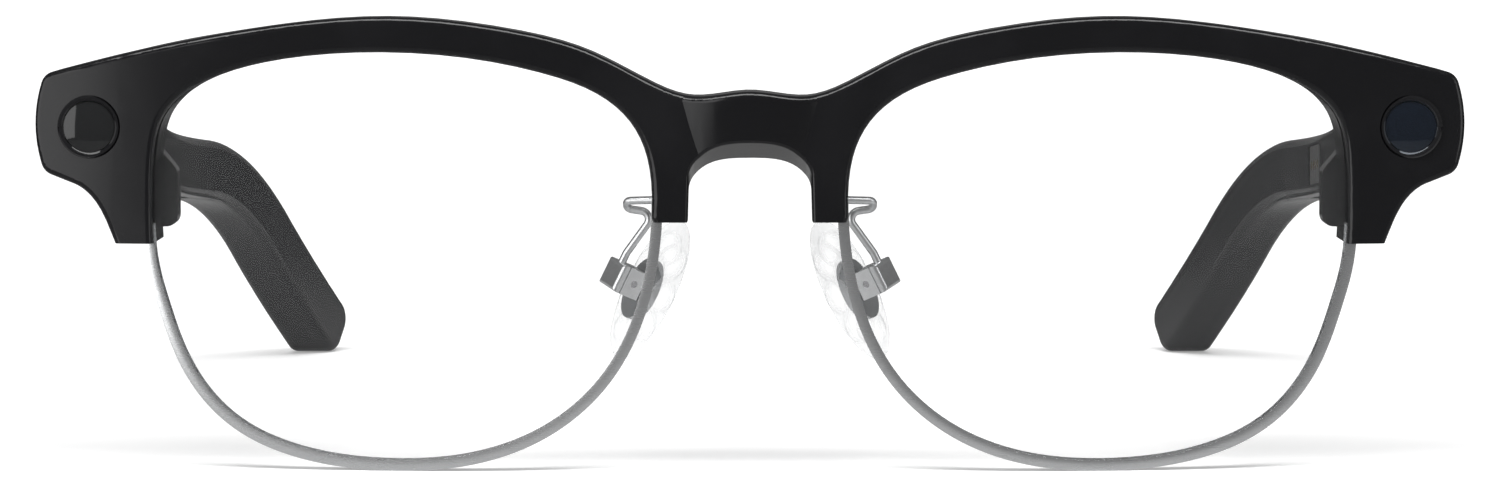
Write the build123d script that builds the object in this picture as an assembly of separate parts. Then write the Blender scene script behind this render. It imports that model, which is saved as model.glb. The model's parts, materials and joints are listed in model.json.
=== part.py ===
from build123d import *
import math
import os

# Smart glasses with a moulded browline front, wire lower rims and folding temples.
# Millimetres. X to the wearer's left as seen from the front, front towards -Y, +Z up.
# Everything is laid out from the front apex at y = 0 and the floor at z = 0,
# standing on the two rim bottoms and the two temple tips, and moved at the end
# so that the origin is the middle of the base of the bounding box.

# ---- driving dimensions -------------------------------------------------
wrap_radius = 450.0          # face-form curve of the front, seen from above
rim_depth = 4.5              # front to back of the moulded rim
end_back = 15.0              # y of the rear face of the moulded end pieces
cover_back = 18.5            # y of the rear face of the end covers
edge_round = 0.6             # rounding of the front edges
arch_round = 0.35            # rounding of the arch's front edge
corner_round = 1.7           # rounding of the end pieces' corners
bend_round = 2.5             # rounding where the outline's runs meet at a slight angle
opening_lip = 0.5            # how far the rim laps over the lens edge
lens_depth = 1.5             # lens front surface behind the front face
lens_thick = 1.7
wire_depth = 1.1             # rim wire front behind the front face
wire_thick = 2.2
wire_half = 0.56
tab_bottom = 23.5            # lower end of the outer tabs
leg_bottom = 26.0            # lower end of the nose legs
bridge_radius = 16.0         # bulge of the bridge, seen from above
bridge_lean = 7.0            # how far the bulge leans back towards its lower edge
arch_slope = 0.34            # drop of the arch per millimetre of depth
module_x = 68.85             # camera and light window centres
module_z = 35.65
recess_radius = 3.3
window_radius = 2.65
fold_tilt = 5.2              # downward slope of the temples, degrees
hinge_x = 64.0
hinge_y = 20.3
hinge_z = 33.1
temple_low = -3.6            # temple edges at the hinge, along its own upright
temple_high = 3.6
bend_start = 81.5            # along the temple from the hinge axis
bend_angle = 35.0
bend_low_radius = 37.8
hook_length = 22.3
tip_round = 2.6              # rounding of the tips seen from the side
head_gap = 0.3               # gap between a temple's head and its end cover
temple_round = 1.0           # rounding along the temples' edges
knuckle_radius = 1.3
pin_radius = 0.6
run_gap = 0.05               # radial play of the hinge and pad pins
pad_lean = 26.0              # nose pads lean in at the top
pad_splay = 30.0             # nose pads open towards the face

# ---- outlines of one half, as (x, z) ------------------------------------
lens_points = [
    (62.8, 27.0), (62.6, 33.0), (61.2, 37.6), (57.6, 40.5), (51.0, 42.8), (44.0, 43.8),
    (37.0, 44.0), (29.0, 43.4), (20.7, 41.7), (15.2, 39.5), (11.7, 36.3), (10.1, 32.6),
    (9.65, 28.5), (10.0, 22.6), (11.4, 16.5), (14.6, 10.1), (19.8, 5.0), (28.2, 1.35),
    (37.6, 0.5), (47.0, 1.75), (54.0, 5.0), (58.6, 10.3), (61.4, 17.4), (62.55, 22.0),
]
brow_top_points = [
    (6.1, 39.1), (10.6, 40.7), (16.8, 43.8), (25.0, 45.95), (37.5, 47.2), (50.2, 46.15),
    (62.9, 43.8),
]
end_top = (73.6, 41.15)
end_mid = (74.6, 36.2)
end_low = (73.7, 30.9)
shoulder = (70.3, 29.6)
tab_outer = (66.2, tab_bottom)
leg_outer = (10.0, leg_bottom)
leg_inner = (6.55, leg_bottom)
arch_top = 34.0
temple_plan = [              # (y, inner x, outer x)
    (12.0, 62.8, 72.8), (40.0, 65.2, 73.2), (70.0, 67.0, 73.6), (95.0, 66.4, 72.6),
    (112.0, 62.9, 68.9), (126.0, 58.9, 65.0), (140.0, 54.0, 60.0), (152.0, 49.2, 55.0),
]


outline_y = -8.0             # outlines are drawn in front of the part and pushed back


# ---- helpers ------------------------------------------------------------
def on_xz(x, z, y=0.0):
    return Vector(x, y, z)


def prism(face, depth=40.0):
    """A face in the XZ plane at y = -depth/4, pushed back along Y."""
    return extrude(face, amount=depth, dir=(0, 1, 0))


def lens_outline(shift=0.0, samples=48):
    """The lens outline as a face, grown outwards by a shift along its normals.

    Its seam is at the lens's foot, clear of the moulding.
    """
    base = Spline([on_xz(x, z, outline_y) for x, z in lens_points], periodic=True)
    if shift == 0:
        return make_face(base)
    points = []
    for i in range(samples):
        where = (i / samples + 0.75) % 1
        along = base % where
        points.append(base @ where + Vector(along.Z, 0, -along.X) * shift)
    return make_face(Spline(points, periodic=True))


def slab(front, back):
    """The curved slice of space between two depths behind the front face."""
    centre = Pos(0, wrap_radius, 20) * Cylinder(wrap_radius - front, 90)
    inner = Pos(0, wrap_radius, 20) * Cylinder(wrap_radius - back, 91)
    window = Pos(0, 10, 20) * Box(170, 60, 90)
    return (centre & window) - inner


def rod(x, y, z, radius, length):
    """A cylinder along +Y that starts at (x, y, z)."""
    return Pos(x, y + length / 2, z) * Rot(90, 0, 0) * Cylinder(radius, length)


def ring(x, y, z, outer, inner, length):
    return rod(x, y, z, outer, length) - rod(x, y - 1, z, inner, length + 2)


def block(low, high):
    size = [h - l for l, h in zip(low, high)]
    mid = [(h + l) / 2 for l, h in zip(low, high)]
    return Pos(*mid) * Box(*size)


def mirrored(part):
    return mirror(part, about=Plane.YZ)


def solid_of(part):
    solids = part.solids()
    return max(solids, key=lambda s: s.volume)


def half_to_whole(part):
    return part + mirrored(part)


# ---- the moulded front --------------------------------------------------
lens_prism = prism(lens_outline())
opening_prism = prism(lens_outline(-opening_lip))


def side_edges():
    """The right-hand end, tab and leg of the front's outline."""
    y = outline_y
    side = ThreePointArc(on_xz(*end_top, y), on_xz(*end_mid, y), on_xz(*end_low, y))
    chin = Line(on_xz(*end_low, y), on_xz(*shoulder, y))
    tab = Spline([on_xz(*shoulder, y), on_xz(68.1, 27.6, y), on_xz(67.05, 25.6, y),
                  on_xz(*tab_outer, y)])
    tab_foot = Line(on_xz(*tab_outer, y), on_xz(61.9, tab_bottom, y))
    tab_in = Line(on_xz(61.9, tab_bottom, y), on_xz(58.0, 33.0, y))
    across = Line(on_xz(58.0, 33.0, y), on_xz(13.0, 33.0, y))
    leg_in = Line(on_xz(13.0, 33.0, y), on_xz(*leg_outer, y))
    leg_foot = Line(on_xz(*leg_outer, y), on_xz(*leg_inner, y))
    return [side, chin, tab, tab_foot, tab_in, across, leg_in, leg_foot]


def brow_outline():
    """The outline of the front, filled where the lens openings will be."""
    y = outline_y
    right = brow_top_points + [end_top]
    left = [(-x, z) for x, z in reversed(right)]
    top = Spline([on_xz(x, z, y) for x, z in left + [(0, 39.6)] + right])
    foot = Line(on_xz(-leg_inner[0], leg_bottom, y), on_xz(*leg_inner, y))
    right_edges = side_edges()
    left_edges = [mirror(e, about=Plane.YZ) for e in right_edges]
    face = make_face([top, foot] + right_edges + left_edges)
    face = face.face()
    ends = [v for v in face.vertices() if abs(v.X) > 73]
    face = face.fillet_2d(corner_round, ends)
    bends = [v for v in face.vertices() if abs(abs(v.X) - shoulder[0]) < 0.01]
    return face.fillet_2d(bend_round, bends)


def arch_prism():
    """The space under the bridge: it drops as it runs back from the front edge."""
    y = outline_y
    rise = -y * arch_slope
    points = [(-6.35, 31.4), (-4.4, 33.35), (0, arch_top), (4.4, 33.35), (6.35, 31.4)]
    arch = Spline([on_xz(x, z + rise, y) for x, z in points])
    right = Line(on_xz(6.35, 31.4 + rise, y), on_xz(6.9, 14, y))
    left = Line(on_xz(-6.35, 31.4 + rise, y), on_xz(-6.9, 14, y))
    foot = Line(on_xz(-6.9, 14, y), on_xz(6.9, 14, y))
    face = make_face([arch, right, left, foot]).face()
    bends = [v for v in face.vertices() if v.Z > 20]
    face = face.fillet_2d(bend_round, bends)
    return extrude(face, amount=30, dir=(0, 1, -arch_slope))


def plan_outline():
    """The half outline of the front seen from above, extruded upwards."""
    front_end = math.sqrt(wrap_radius**2 - 80.0**2)
    front = RadiusArc((0, 0), (80, wrap_radius - front_end), -wrap_radius)
    back_radius = wrap_radius - rim_depth
    back_y = wrap_radius - math.sqrt(back_radius**2 - 48.0**2)
    back = RadiusArc((0, rim_depth), (48, back_y), -back_radius)
    swell = Spline([(48, back_y), (55.5, 10.2), (62.5, end_back)],
                   tangents=[(1, 0.11), (1, 0.05)])
    rear = Line((62.5, end_back), (80, end_back))
    side = Line((80, end_back), (80, wrap_radius - front_end))
    middle = Line((0, rim_depth), (0, 0))
    half = make_face([front, back, swell, rear, side, middle])
    return half_to_whole(extrude(half, amount=60))




def on_front(edge):
    """True for an edge that lies on the curved front face."""
    for point in (edge @ 0, edge @ 0.5, edge @ 1):
        depth = wrap_radius - math.sqrt(wrap_radius**2 - point.X**2)
        if abs(point.Y - depth) > 0.02:
            return False
    return True


def is_foot(edge):
    level = abs((edge @ 0).Z - (edge @ 1).Z) < 0.01
    return level and (edge @ 0.5).Z < leg_bottom + 0.5


def bulge_edges(solid, low, high):
    """The bulge's long front edges whose middles lie between two heights."""
    edges = [e for e in solid.edges() if e.length > 10 and low < (e @ 0.5).Z < high]
    return [e for e in edges if (e @ 0.5).Y < 0 and abs((e @ 0.5).X) < 1]


def bridge_bulge():
    """The rounded front of the bridge, wider at the top than at the bottom."""
    low = 31.0
    high = 41.0
    middle = Pos(0, bridge_radius - 1.15, 36.2) * Rot(bridge_lean, 0, 0)
    bulge = middle * Cylinder(bridge_radius, 40)
    bulge = (bulge & prism(brow_outline(), 10)) & block((-9, -4, low), (9, 3.5, high))
    bulge = solid_of(bulge - arch_prism())
    bulge = bulge.fillet(edge_round, bulge_edges(bulge, 37, 42))
    return bulge.fillet(arch_round, bulge_edges(bulge, 30, 37))


def brow_body():
    body = prism(brow_outline()) & plan_outline()
    body = solid_of(body - opening_prism - mirrored(opening_prism))
    edges = [e for e in body.edges() if on_front(e) and not is_foot(e)]
    body = solid_of(body.fillet(edge_round, edges) - arch_prism())
    arch = [e for e in body.edges() if on_front(e) and abs((e @ 0.5).X) < 7.2 and not is_foot(e)]
    return body.fillet(arch_round, arch)


# ---- rims and lenses ----------------------------------------------------
def lens():
    """A lens of even thickness on the front's curve, with eased edges."""
    body = solid_of(lens_prism & slab(lens_depth, lens_depth + lens_thick))
    return body


def rim_band():
    """The wire's section run round the lens edge, up to its sockets."""
    outer = prism(lens_outline(wire_half))
    inner = prism(lens_outline(-wire_half))
    band = (outer - inner) & slab(wire_depth, wire_depth + wire_thick)
    band = band - block((40, -10, tab_bottom + 2.0), (80, 40, 60))
    band = band - block((0, -10, leg_bottom + 2.0), (40, 40, 60))
    return solid_of(band)


def rim_wire():
    """The silver lower rim: a grooved wire from the tab to the nose leg."""
    return solid_of(rim_band() - lens_seat)


def rim_screws(radius=0.55):
    """Small screws from behind that hold the wire's ends in the tabs and legs."""
    outer = rod(63.5, 6.6, tab_bottom + 1.3, radius, 1.5) + rod(63.5, 8.1, tab_bottom + 1.3, 0.95, 0.5)
    inner = rod(8.85, 2.2, leg_bottom + 0.9, radius, 1.7) + rod(8.85, 3.9, leg_bottom + 0.9, 0.7, 0.4)
    return outer, inner


lens_seat = lens_prism & slab(lens_depth, lens_depth + lens_thick)

# wiring channel along the back of the rims and over the bridge
cable_band = 0.95            # from the lens edge to the channel
cable_wide = 1.3
cable_foot = 37.0


def cable_space(front, back, inset=0.0):
    """The channel's space between two depths, each side in by the inset."""
    near = prism(lens_outline(cable_band + inset))
    far = prism(lens_outline(cable_band + cable_wide - inset))
    band = (far - near) & block((9.2, -10, cable_foot), (56.0, 40, 60))
    reach = prism_block(10.2, 35.9 + inset, 37.4 - inset)
    both = half_to_whole(band) + reach
    return solid_of(both & slab(front, back))


def prism_block(half_width, low, high):
    return block((-half_width, -8, low), (half_width, 32, high))


# ---- the modules in the end pieces --------------------------------------
module_y = 5.3               # depth of the front face at the module centres


def module_pocket():
    """What is cut from the moulding for one module: the front bore and the bay."""
    mouth = rod(module_x, 0, module_z, recess_radius, module_y + 1.3)
    bore = rod(module_x, module_y, module_z, 2.9, 6.0)
    bay = block((64.6, module_y + 3.2, 31.7), (73.0, end_back + 1, 40.0))
    return mouth + bore + bay


def module_bezel():
    body = ring(module_x, module_y - 0.2, module_z, recess_radius - 0.02, window_radius + 0.05, 1.5)
    lip = [e for e in body.edges() if e.geom_type == GeomType.CIRCLE and (e @ 0).Y < module_y]
    return chamfer(lip, 0.18)


def module_window(dome=0.35):
    """A thin round cover glass, slightly domed, flush with the end piece."""
    disc = rod(module_x, module_y - 0.75, module_z, window_radius, 1.25)
    ball = Pos(module_x, module_y - dome + 10.0, module_z) * Sphere(10.0)
    return disc & ball


def camera_barrel():
    body = rod(module_x, module_y + 1.6, module_z, 2.3, 2.8)
    body -= rod(module_x, module_y + 1.5, module_z, 1.3, 2.0)
    body -= Pos(module_x, module_y + 1.9, module_z) * Rot(90, 0, 0) * Cone(1.25, 2.0, 0.8)
    return body


def camera_glass():
    disc = rod(module_x, module_y + 2.3, module_z, 1.25, 0.9)
    ball = Pos(module_x, module_y + 2.35 + 2.6, module_z) * Sphere(2.6)
    return disc & ball


def module_board(extra):
    """The small circuit board behind a module, with its parts."""
    y = module_y + 4.5
    board = block((65.0, y, 32.0), (72.6, y + 0.8, 39.6))
    chip = block((66.0, y + 0.8, 32.7), (69.0, y + 1.6, 35.7))
    plug = block((66.4, y + 0.8, 36.8), (71.4, y + 1.9, 38.6))
    tall = block((70.0, y + 0.8, 32.9), (71.4, y + 0.8 + extra, 34.9))
    return board + chip + plug + tall


def camera_sensor():
    y = module_y + 4.4
    return block((module_x - 1.9, y - 0.0, module_z - 1.9), (module_x + 1.9, y + 0.1, module_z + 1.9))


def light_pipe():
    """The moulded light guide behind the dark window."""
    body = rod(module_x, module_y + 0.6, module_z, 1.1, 3.0)
    flange = rod(module_x, module_y + 3.6, module_z, 2.2, 0.85)
    return body + flange


# ---- end covers and hinges ----------------------------------------------
cover_edge = 62.7            # x of the cover's inner edge, level with the end piece's
leaf_edge = -0.9             # inner edge of the front leaf's plate, from the hinge axis


def end_cover():
    """The rear shell of an end piece, which carries the hinge."""
    y = end_back
    pts = [(60.7, 24.6), (64.9, 24.6), (68.6, 28.9), (73.2, 31.2), (73.9, 36.2),
           (73.0, 40.6), (cover_edge, 40.9), (cover_edge, 33.0), (60.7, 30.6)]
    edge = Polyline([on_xz(x, z, y) for x, z in pts], close=True)
    face = make_face(edge).face()
    face = face.fillet_2d(1.2, face.vertices())
    body = solid_of(extrude(face, amount=cover_back - end_back, dir=(0, 1, 0)))
    rear = [e for e in body.edges() if (e @ 0).Y > cover_back - 0.01 and (e @ 1).Y > cover_back - 0.01]
    body = body.fillet(0.45, rear)
    tongue = block((65.0, y - 0.9, 32.0), (72.6, y, 39.6))
    return solid_of(body + tongue)


hinge_frame = Plane(origin=(hinge_x, hinge_y, hinge_z), x_dir=(1, 0, 0),
                    z_dir=(0, math.sin(math.radians(fold_tilt)), math.cos(math.radians(fold_tilt))))


def placed(part):
    """From the temple's own frame, with the hinge axis up its Z, to the model."""
    return hinge_frame.location * part


def barrel(low, high):
    body = Pos(0, 0, (low + high) / 2) * Cylinder(knuckle_radius, high - low)
    return body


def pin_hole(radius):
    return Cylinder(radius, 9.0)


def hinge_front():
    """The front leaf: a plate let into the end cover, with two knuckles."""
    y0 = cover_back - hinge_y
    plate = block((leaf_edge, y0 - 0.9, -3.0), (3.4, y0 - 0.15, 3.0))
    upper_web = block((-0.9, y0 - 0.2, 1.05), (0.9, 0, 3.0))
    lower_web = block((-0.9, y0 - 0.2, -3.0), (0.9, 0, -1.05))
    webs = upper_web + lower_web
    knuckles = barrel(1.05, 3.0) + barrel(-3.0, -1.05)
    body = plate + webs + knuckles - pin_hole(pin_radius)
    return body


def hinge_pin():
    """A shouldered screw that is fixed in the front leaf and is the hinge's axle."""
    shank = Pos(0, 0, 0.2) * Cylinder(pin_radius, 6.2)
    head = Pos(0, 0, 3.25) * Cylinder(1.05, 0.5)
    slot = Pos(0, 0, 3.45) * Box(2.4, 0.3, 0.3)
    return shank + head - slot


leaf_x = 1.7                 # inner face of the temple leaf's plate
leaf_thick = 1.0
leaf_screw_y = 8.0


def hinge_temple():
    """The temple leaf: one knuckle on a plate that lies inside the temple."""
    knuckle = barrel(-0.95, 0.95)
    web = block((-0.6, 0, -0.95), (leaf_x + leaf_thick, 4.0, 0.95))
    plate = block((leaf_x, 3.8, -2.9), (leaf_x + leaf_thick, 10.0, 2.9))
    body = knuckle + web + plate
    body -= pin_hole(pin_radius + run_gap)
    for z in (-1.6, 1.6):
        body -= along_x(leaf_x - 1, leaf_screw_y, z, 0.5, 3)
    return body


def along_x(x, y, z, radius, length):
    """A cylinder along +X that starts at (x, y, z)."""
    return Pos(x + length / 2, y, z) * Rot(0, 90, 0) * Cylinder(radius, length)


def leaf_screws():
    body = []
    for z in (-1.6, 1.6):
        shank = along_x(leaf_x - 0.3, leaf_screw_y, z, 0.5, 3.6)
        head = along_x(leaf_x - 0.35, leaf_screw_y, z, 0.9, 0.35)
        body.append(shank + head)
    return body


# ---- temples, in the hinge's frame --------------------------------------
def side_face(low, high, start):
    """The temple's side outline between two heights, from start to the tip."""
    turn = math.radians(bend_angle)
    r_high = bend_low_radius + (high - temple_low)
    cy = bend_start
    cz = temple_low - bend_low_radius
    reach = hook_length

    def at(radius, along):
        y = cy + radius * math.sin(turn) + along * math.cos(turn)
        z = cz + radius * math.cos(turn) - along * math.sin(turn)
        return (y, z)

    r_l = bend_low_radius + (low - temple_low)
    a = Line((start, low), (cy, low))
    b = TangentArc((cy, low), at(r_l, 0), tangent=(1, 0))
    c = Line(at(r_l, 0), at(r_l, reach))
    d = Line(at(r_l, reach), at(r_high, reach))
    e = Line(at(r_high, reach), at(r_high, 0))
    f = TangentArc((cy, high), at(r_high, 0), tangent=(1, 0))
    g = Line((cy, high), (start, high))
    h = Line((start, high), (start, low))
    face = make_face([a, b, c, d, e, f, g, h]).face()
    return face


def side_prism(face):
    """A (y, z) outline pushed along X right through the temple."""
    plane = Plane(origin=(-30, 0, 0), x_dir=(0, 1, 0), z_dir=(1, 0, 0))
    return extrude(plane.location * face, amount=60, dir=(1, 0, 0))


def plan_band(inner_inset, outer_inset):
    """The temple's thickness seen from above, between two insets of its faces."""
    inner = Spline([(x - hinge_x + inner_inset, y - hinge_y) for y, x, _ in temple_plan])
    outer = Spline([(x - hinge_x - outer_inset, y - hinge_y) for y, _, x in temple_plan])
    head = Line(inner @ 0, outer @ 0)
    tail = Line(inner @ 1, outer @ 1)
    face = make_face([inner, tail, outer, head])
    return Pos(0, 0, -60) * extrude(face, amount=100)


def plan_strip(near, far, from_outer=False):
    """A curved layer between two depths under the temple's inner or outer face."""
    column = 2 if from_outer else 1
    sign = -1 if from_outer else 1
    rows = [(row[column] - hinge_x, row[0] - hinge_y) for row in temple_plan]
    one = Spline([(x + sign * near, y) for x, y in rows])
    two = Spline([(x + sign * far, y) for x, y in rows])
    face = make_face([one, Line(one @ 1, two @ 1), two, Line(two @ 0, one @ 0)])
    return Pos(0, 0, -60) * extrude(face, amount=100)


def layer(start, end, half_height, near, far, from_outer=False):
    """A curved slab of the temple: lengthwise span, half height and depth span."""
    slice_ = block((-30, start, -half_height), (30, end, half_height))
    return solid_of(slice_ & plan_strip(near, far, from_outer))


def pill(x, y, low, high, long, wide):
    """An upright block with round ends, its length along Y."""
    face = Pos(x, y, low) * SlotOverall(long, wide, rotation=90)
    return extrude(face, amount=high - low)


cover_start = 4.6
cover_end = 81.0
cover_half = 3.1
cover_thick = 1.0
cavity_start = 10.8
cavity_end = 79.8
cavity_half = 2.85
outer_wall = 1.5
button_y = 17.5
button_x = 5.1
button_long = 7.6
button_wide = 3.0
button_travel = 0.4
button_gap = 0.08
grille_y = 74.0
grille_x = 4.2
mic_y = 13.4
mic_x = 4.4


def temple_body():
    """The whole temple with rounded edges, before it is hollowed."""
    start = -4.0
    face = side_face(temple_low, temple_high, start)
    tip = [v for v in face.vertices() if v.X > bend_start + 20 and v.Y < -15]
    face = face.fillet_2d(tip_round, tip)
    body = solid_of(side_prism(face) & plan_band(0, 0))
    edges = [e for e in body.edges() if e.length > 3 and (e @ 0.5).Y > start + 0.01]
    body = body.fillet(temple_round, edges)
    front = block((0, -20, -20), (120, cover_back + head_gap, 60))
    return solid_of(body - hinge_frame.location.inverse() * front)


def temple_shell():
    """The outer shell: the temple less its bay, its cover's seat and its ports."""
    body = temple_body()
    body -= block((-6, -3, -8), (0.25, 0.25, 8))
    body -= block((-6, -3, -3.7), (1.55, 1.55, 3.7))
    body -= block((-6, -3, -1.1), (leaf_x + leaf_thick + 0.1, 4.2, 1.1))
    body -= block((-6, 3.7, -3.0), (leaf_x + leaf_thick, 10.1, 3.0))
    body -= layer(cover_start, cover_end, cover_half, -3, cover_thick)
    room = block((-30, cavity_start, -cavity_half), (30, cavity_end, cavity_half))
    body -= room & plan_band(-3, outer_wall)
    body -= pill(button_x, button_y, 1, 6, button_long + 2 * button_gap, button_wide + 2 * button_gap)
    body -= block((grille_x, grille_y - 4.2, -6), (grille_x + 1.8, grille_y + 4.2, 0.1 - cavity_half))
    body -= Pos(mic_x, mic_y, -4) * Cylinder(0.35, 3)
    for z in (-1.6, 1.6):
        body -= along_x(leaf_x, leaf_screw_y, z, 0.5, 3.3)
    return solid_of(body)


def temple_cover(side):
    """The inner cover, flush with the temple's inner face."""
    body = layer(cover_start + 0.03, cover_end - 0.03, cover_half - 0.03, -1, cover_thick)
    body = solid_of(body & temple_body())
    if side == "right":
        body -= charging_seat()
    return solid_of(body)


pad_y = 64.0                 # charging pad on the inner side of one temple
pad_long = 10.0
pad_high = 4.6
pad_x = 3.15                 # plane of the charging pad's face


def charging_seat():
    return block((-5, pad_y - pad_long / 2, -pad_high / 2), (9, pad_y + pad_long / 2, pad_high / 2))


def charging_pad():
    """The flat insulating plate that the charger's magnet seats on."""
    gap = 0.03
    y0 = pad_y - pad_long / 2 + gap
    y1 = pad_y + pad_long / 2 - gap
    plate = block((pad_x, y0, -pad_high / 2 + gap), (pad_x + 0.9, y1, pad_high / 2 - gap))
    for y in contact_rows():
        plate -= along_x(pad_x - 1, y, 0, 0.6, 4)
    return plate


def contact_rows():
    return [pad_y + step for step in (-3.3, -1.1, 1.1, 3.3)]


def charging_contacts():
    return [along_x(pad_x, y, 0, 0.6, 1.3) for y in contact_rows()]


def battery():
    """A pouch cell, curved with the temple, with its folded tab end."""
    cell = layer(22.4, 48.4, 2.6, 1.25, 4.2)
    tab = layer(48.4, 49.8, 1.8, 1.9, 3.2)
    return solid_of(cell + tab)


def temple_board():
    """The circuit board behind the battery, with its chips and connector."""
    board = layer(50.2, 67.0, 2.7, 2.3, 2.9)
    chips = layer(51.2, 54.6, 1.9, 2.9, 3.8) + layer(59.9, 65.9, 2.1, 2.9, 3.9)
    plug = layer(55.4, 59.1, 1.2, 2.9, 4.0)
    return solid_of(board + chips + plug)


def speaker():
    """The flat speaker box, with the raised rim of its cone."""
    box = layer(68.0, 79.4, 2.5, 1.25, 3.6)
    rim = layer(69.7, 77.7, 1.9, 3.6, 4.0)
    return solid_of(box + rim - layer(70.5, 76.9, 1.3, 3.7, 4.5))


def speaker_grille():
    """The perforated strip let into the temple's lower edge."""
    plate = block((grille_x, grille_y - 4.2, temple_low + 0.12), (grille_x + 1.8, grille_y + 4.2, temple_low + 0.6))
    for step in range(-4, 5):
        plate -= Pos(grille_x + 0.9, grille_y + step * 0.9, temple_low) * Cylinder(0.28, 3)
    return plate


def microphone():
    return block((mic_x - 1.4, mic_y - 1.1, -cavity_half), (mic_x + 1.4, mic_y + 1.1, -cavity_half + 1.1))


def side_button():
    """A long round-ended key in the temple's upper edge, with its stem."""
    key = pill(button_x, button_y, 2.45, temple_high + 0.45, button_long, button_wide)
    rim = [e for e in key.edges() if (e @ 0.5).Z > temple_high + 0.4]
    key = key.fillet(0.25, rim)
    flange = pill(button_x, button_y, 2.1, cavity_half - 0.1, button_long + 1.2, button_wide + 0.9)
    stem = Pos(button_x, button_y, 1.85) * Cylinder(0.7, 0.7)
    return solid_of(key + flange + stem)


def button_switch():
    """The small dome switch under the key."""
    base = block((button_x - 1.6, button_y - 1.6, -0.4), (button_x + 1.6, button_y + 1.6, 0.7))
    dome = Pos(button_x, button_y, 0.85) * Cylinder(1.0, 0.3)
    return base + dome


def touch_strip():
    """The touch sensor's flexible strip under the outer wall."""
    return layer(22.0, 58.0, 2.5, outer_wall + 0.02, outer_wall + 0.22, True)


# ---- nose pads ----------------------------------------------------------
box_centre = (13.0, 9.4, 19.4)


def pad_frame():
    """The pad's own frame: Z up its length, Y from the box towards the nose."""
    lean = math.radians(pad_lean)
    splay = math.radians(pad_splay)
    up = Vector(-math.sin(lean), 0, math.cos(lean))
    towards = Vector(-math.cos(splay), math.sin(splay), 0)
    towards = (towards - up * towards.dot(up)).normalized()
    return Plane(origin=box_centre, x_dir=towards.cross(up), z_dir=up)


lug_thick = 0.9
clip_end = 2.05              # outer end of the box, from the pivot


def at_pad(part):
    return pad_frame().location * part


def pad_box():
    """The folded metal box that holds the pad's lug, with a rounded clip end."""
    body = block((-1.75, -clip_end, -1.5), (1.75, 1.1, 1.5))
    body = body.fillet(0.45, [e for e in body.edges() if (e @ 0.5).Y < 0.01 - clip_end])
    fold = block((-2, -1.3, -2), (2, -1.15, 2)) - block((-1.63, -5, -1.38), (1.63, 2, 1.38))
    body -= fold
    body -= block((-lug_thick / 2 - 0.12, -0.95, -3), (lug_thick / 2 + 0.12, 2, 3))
    body -= across_pad(-4, pad_pin_radius, 8)
    return solid_of(body)


pad_pin_radius = 0.4


def across_pad(x, radius, length):
    return Pos(x + length / 2, 0, 0) * Rot(0, 90, 0) * Cylinder(radius, length)


def pad_screw():
    """The screw through the box and the lug, on which the pad rocks."""
    shank = across_pad(-1.7, pad_pin_radius, 3.5)
    head = across_pad(1.75, 0.75, 0.4)
    slot = block((1.95, -0.9, -0.1), (2.4, 0.9, 0.1))
    return solid_of((shank + head) - slot)


def pad_insert():
    """The grey drop-shaped core with the lug that sits in the box."""
    core = Pos(0, 2.35, -0.3) * Rot(90, 0, 0) * extrude(Ellipse(2.4, 3.4), amount=0.5, both=True)
    neck = block((-lug_thick / 2, 0, -0.8), (lug_thick / 2, 2.0, 0.8))
    eye = across_pad(-lug_thick / 2, 0.8, lug_thick)
    body = core + neck + eye - across_pad(-3, pad_pin_radius + run_gap, 6)
    return solid_of(body)


def nose_pad():
    """The soft pad: an oval cushion moulded round its core."""
    blank = Pos(0, 3.25, 0) * Rot(90, 0, 0) * extrude(Ellipse(4.1, 6.8), amount=1.3, both=True)
    blank = solid_of(blank)
    rims = [e for e in blank.edges() if e.length > 20]
    blank = blank.fillet(1.1, rims)
    core = Pos(0, 2.35, -0.3) * Rot(90, 0, 0) * extrude(Ellipse(2.4, 3.4), amount=0.5, both=True)
    return solid_of(blank - core)


arm_radius = 0.42


def nose_arm():
    """The bent wire from the back of the leg, round a hairpin and down to the box."""
    foot = pad_frame().from_local_coords(Vector(0, -1.45, 0.6))
    near = pad_frame().from_local_coords(Vector(0, -1.45, 2.6))
    points = [(7.7, 3.6, 28.1), (8.1, 6.5, 28.0), (12.9, 7.7, 27.8), (12.9, 8.6, 26.9),
              (9.9, 8.2, 26.5), tuple(near), tuple(foot)]
    path = FilletPolyline(*points, radius=[1.1, 0.55, 0.55, 0.9, 0.8])
    start = Plane(origin=path @ 0, z_dir=path % 0)
    return solid_of(sweep(start * Circle(arm_radius), path=path))


# ---- the nodes ----------------------------------------------------------
def brow_frame():
    """The moulded front with its lens grooves, sockets, bays and channel."""
    body = brow_body() + bridge_bulge()
    outer_screw, inner_screw = rim_screws()
    one_side = module_pocket() + outer_screw + inner_screw + cable_duct()
    for cutter in (one_side, lens_seat, rim_band()):
        body = body - cutter - mirrored(cutter)
    return solid_of(body - cable_space(3.2, 12.0))


def cable_duct():
    """The bore from the end of the channel to the bay in the end piece."""
    start = Vector(54.6, 7.0, 42.1)
    run = Vector(11.0, 2.6, -2.9)
    bore = Plane(origin=start, z_dir=run) * Circle(0.6)
    return extrude(bore, amount=run.length)


def front_flex():
    return cable_space(3.2, 3.45, 0.12)


def cable_cover():
    """The strip that closes the channel, flush with the back of the front."""
    return solid_of(cable_space(3.5, 12.0, 0.02) & plan_outline())


cover_screw_places = ((63.2, 27.2), (63.95, 38.9))


def cover_screws(radius=0.5):
    """Screws through the end covers into the moulding, heads sunk in the covers."""
    body = []
    for x, z in cover_screw_places:
        shank = rod(x, end_back - 2.6, z, radius, 5.1)
        head = rod(x, cover_back - 1.0, z, 0.85, 0.5)
        body.append(shank + head)
    return body


def joined(parts):
    whole = parts[0]
    for part in parts[1:]:
        whole = whole + part
    return whole


def group(parts):
    return Compound(children=[solid for part in parts for solid in part.solids()])


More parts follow.
